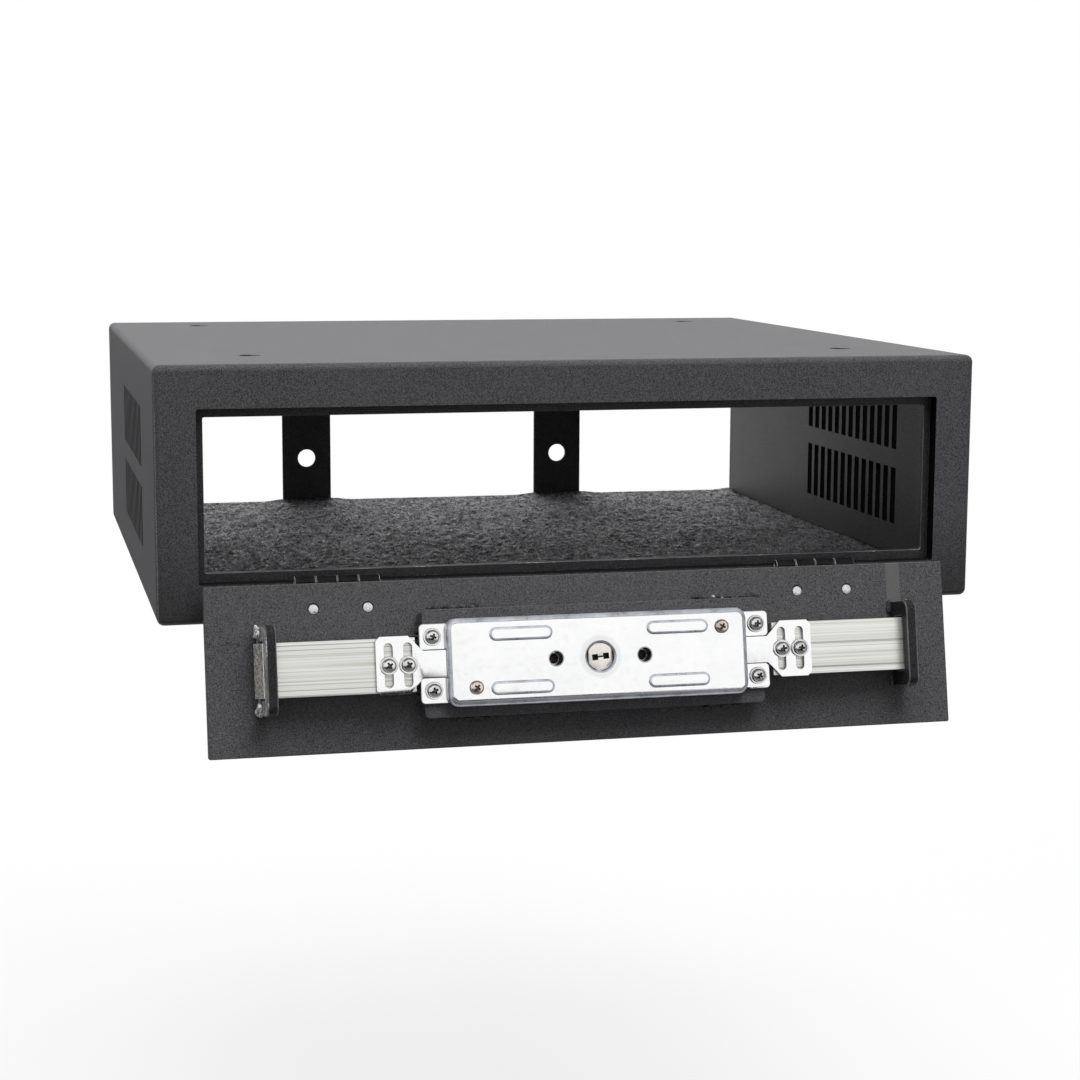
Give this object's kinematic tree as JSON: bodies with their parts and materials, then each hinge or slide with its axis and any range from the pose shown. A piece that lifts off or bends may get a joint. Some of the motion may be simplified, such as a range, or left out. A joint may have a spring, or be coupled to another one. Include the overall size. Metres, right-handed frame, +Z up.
{
  "type": "under desk drawer safe",
  "caption": "Steel lock box that hangs under a desk, with a drop-down door, a key lock driving two side bolts, vented sides and an open strapped back.",
  "frame": {"origin": "centre of the box's flat top face, which lies against the desk's underside", "axes": "+X to the right seen from the front, +Y back from the door, +Z up out of the top face"},
  "size_m": [0.4, 0.4152, 0.1781],
  "materials": {
    "black_coat": "fine-textured black powder coat",
    "carpet": "speckled charcoal needle-felt carpet",
    "zinc": "bright zinc plate",
    "brushed_bar": "brushed lengthwise",
    "bright_screw": "bright plated",
    "brass_screw": "brass plated",
    "nickel": "nickel plated"
  },
  "bodies": {
    "box": {"body_shell": "black_coat", "front_frame": "black_coat", "door_stop_frame": "black_coat", "rear_panel": "black_coat", "carpet_liner": "carpet", "hinge_left_frame_leaf": "black_coat", "hinge_right_frame_leaf": "black_coat", "hinge_left_pin": "bright_screw", "hinge_right_pin": "bright_screw", "frame_rivet_1": "bright_screw", "frame_rivet_2": "bright_screw", "frame_rivet_3": "bright_screw", "frame_rivet_4": "bright_screw"},
    "door": {"door_panel": "black_coat", "hinge_left_door_leaf": "black_coat", "hinge_right_door_leaf": "black_coat", "door_rivet_1": "bright_screw", "door_rivet_2": "bright_screw", "door_rivet_3": "bright_screw", "door_rivet_4": "bright_screw", "lock_plinth": "black_coat", "lock_base_plate": "zinc", "lock_cover": "zinc", "cover_screw_1": "brass_screw", "cover_screw_2": "brass_screw", "ear_screw_1": "bright_screw", "ear_screw_2": "bright_screw", "ear_screw_3": "bright_screw", "ear_screw_4": "bright_screw", "bolt_guide_left": "black_coat", "bolt_guide_right": "black_coat", "cylinder_housing": "nickel", "cylinder_nut": "bright_screw", "escutcheon": "black_coat", "escutcheon_screw_1": "bright_screw", "escutcheon_screw_2": "bright_screw"},
    "lock": {"lock_plug": "nickel", "drive_pinion": "nickel"},
    "left_bolt": {"drive_plate_left": "zinc", "bolt_bar_left": "brushed_bar", "bolt_screw_1": "bright_screw", "bolt_screw_2": "bright_screw"},
    "right_bolt": {"drive_plate_right": "zinc", "bolt_bar_right": "brushed_bar", "bolt_screw_3": "bright_screw", "bolt_screw_4": "bright_screw"}
  },
  "joints": [
    {"name": "door_swing", "type": "hinge", "parent": "box", "child": "door", "pos_m": [0, -0.188, -0.1009], "axis": [-1, 0, 0], "range_deg": [0, 168.6]},
    {"name": "key_turn", "type": "hinge", "parent": "door", "child": "lock", "pos_m": [0, -0.20527, -0.13848], "axis": [0, 0.9803, -0.1977], "range_deg": [0, 360]},
    {"name": "left_bolt_slide", "type": "slide", "parent": "door", "child": "left_bolt", "axis": [-1, 0, 0], "range_m": [0, 0.028]},
    {"name": "right_bolt_slide", "type": "slide", "parent": "door", "child": "right_bolt", "axis": [1, 0, 0], "range_m": [0, 0.028]}
  ],
  "couplings": [
    {"joint": "key_turn", "follows": "left_bolt_slide", "rad_per_m": 224.4},
    {"joint": "right_bolt_slide", "follows": "left_bolt_slide", "ratio": 1}
  ]
}
